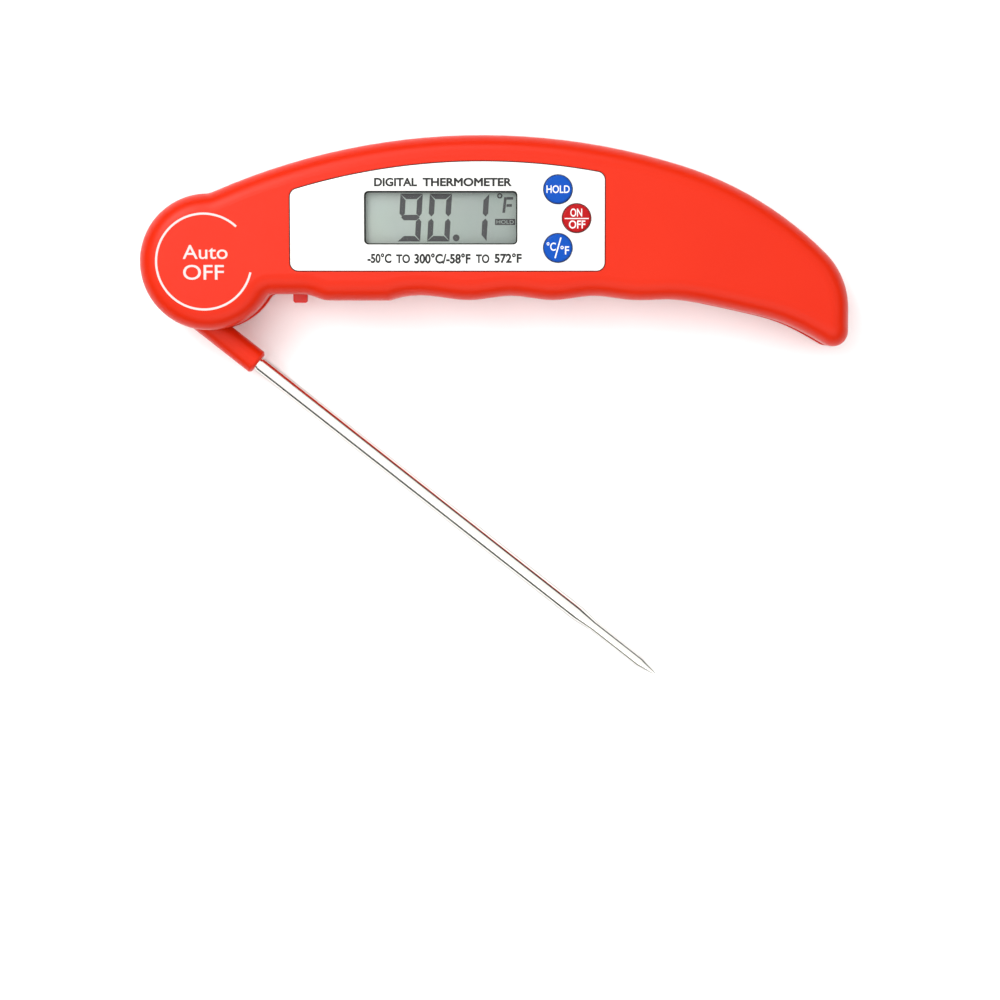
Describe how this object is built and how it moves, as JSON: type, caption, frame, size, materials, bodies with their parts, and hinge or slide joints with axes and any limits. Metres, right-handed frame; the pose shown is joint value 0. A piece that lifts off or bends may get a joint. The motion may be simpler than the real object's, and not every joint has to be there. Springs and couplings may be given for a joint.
{
  "type": "folding meat thermometer",
  "caption": "Folding probe thermometer: flat arched handle with display and keys, steel probe hinged at the round end, slot for the folded tip.",
  "frame": {"origin": "on the pivot axis of the probe, in the plane of the handle's flat back", "axes": "+X from the pivot to the handle's tail, +Y to the arched edge, +Z out of the display face"},
  "size_m": [0.1572, 0.1215, 0.0207],
  "materials": {
    "red_plastic": "moulded ABS, satin gloss, warm red",
    "white_plate": "printed polycarbonate plate, white, satin",
    "clear_lens": "clear acrylic display window",
    "lcd_glass": "reflective liquid crystal panel, grey green",
    "lcd_frame": "black moulded frame round the panel",
    "zebra": "layered conductive silicone strips",
    "board": "glass epoxy circuit board, green mask",
    "epoxy_black": "black potting epoxy",
    "components": "moulded component packages",
    "switch_black": "black switch bodies",
    "key_blue": "blue moulded key, glossy, white print",
    "key_red": "crimson moulded key, glossy, white print",
    "cell_steel": "nickel plated steel can",
    "contact_metal": "nickel plated spring steel",
    "door_red": "moulded ABS, satin gloss, warm red",
    "seal_rubber": "black nitrile rubber",
    "screw_steel": "zinc plated steel",
    "plunger_red": "red acetal",
    "washer": "white acetal washer",
    "arm_red": "moulded ABS, satin gloss, warm red",
    "stainless": "drawn stainless tube, fine finish",
    "bead_glass": "glass coated thermistor bead",
    "potting": "thermal epoxy",
    "lead_pvc": "insulated sensor wire pair, white jacket"
  },
  "bodies": {
    "handle": {"front_shell": "red_plastic", "rear_shell": "red_plastic", "faceplate": "white_plate", "display_window": "clear_lens", "lcd_panel": "lcd_glass", "lcd_frame": "lcd_frame", "lcd_connector": "zebra", "circuit_board": "board", "processor_blob": "epoxy_black", "board_components": "components", "key_switches": "switch_black", "battery_cell": "cell_steel", "negative_contact": "contact_metal", "positive_contact": "contact_metal", "case_screws": "screw_steel", "board_screws": "screw_steel", "auto_off_switch": "switch_black", "friction_washer": "washer", "pivot_seal": "seal_rubber", "sensor_lead": "lead_pvc"},
    "probe": {"probe_arm": "arm_red", "hub_cover": "arm_red", "probe_tube": "stainless", "thermistor_bead": "bead_glass", "tip_potting": "potting", "probe_lead": "lead_pvc", "pivot_clip": "contact_metal"},
    "hold_button": {"hold_key": "key_blue"},
    "power_button": {"power_key": "key_red"},
    "units_button": {"units_key": "key_blue"},
    "auto_off_pin": {"auto_off_plunger": "plunger_red"},
    "door": {"battery_door": "door_red", "battery_door_seal": "seal_rubber"}
  },
  "joints": [
    {"name": "probe_fold", "type": "hinge", "parent": "handle", "child": "probe", "pos_m": [0, 0, 0.0075], "axis": [0, 0, 1], "range_deg": [-141.8, 36.2]},
    {"name": "hold_press", "type": "slide", "parent": "handle", "child": "hold_button", "axis": [0, 0, -1], "range_m": [0, 0.0005], "stiffness_N_per_m": 400, "springref_m": -0.0005},
    {"name": "power_press", "type": "slide", "parent": "handle", "child": "power_button", "axis": [0, 0, -1], "range_m": [0, 0.0005], "stiffness_N_per_m": 400, "springref_m": -0.0005},
    {"name": "units_press", "type": "slide", "parent": "handle", "child": "units_button", "axis": [0, 0, -1], "range_m": [0, 0.0005], "stiffness_N_per_m": 400, "springref_m": -0.0005},
    {"name": "auto_off_press", "type": "slide", "parent": "handle", "child": "auto_off_pin", "axis": [0, 1, 0], "range_m": [0, 0.0012], "stiffness_N_per_m": 250, "springref_m": -0.0004},
    {"name": "battery_door_turn", "type": "hinge", "parent": "handle", "child": "door", "pos_m": [0.105, 0.0055, 0], "axis": [0, 0, 1], "range_deg": [0, 60]}
  ]
}
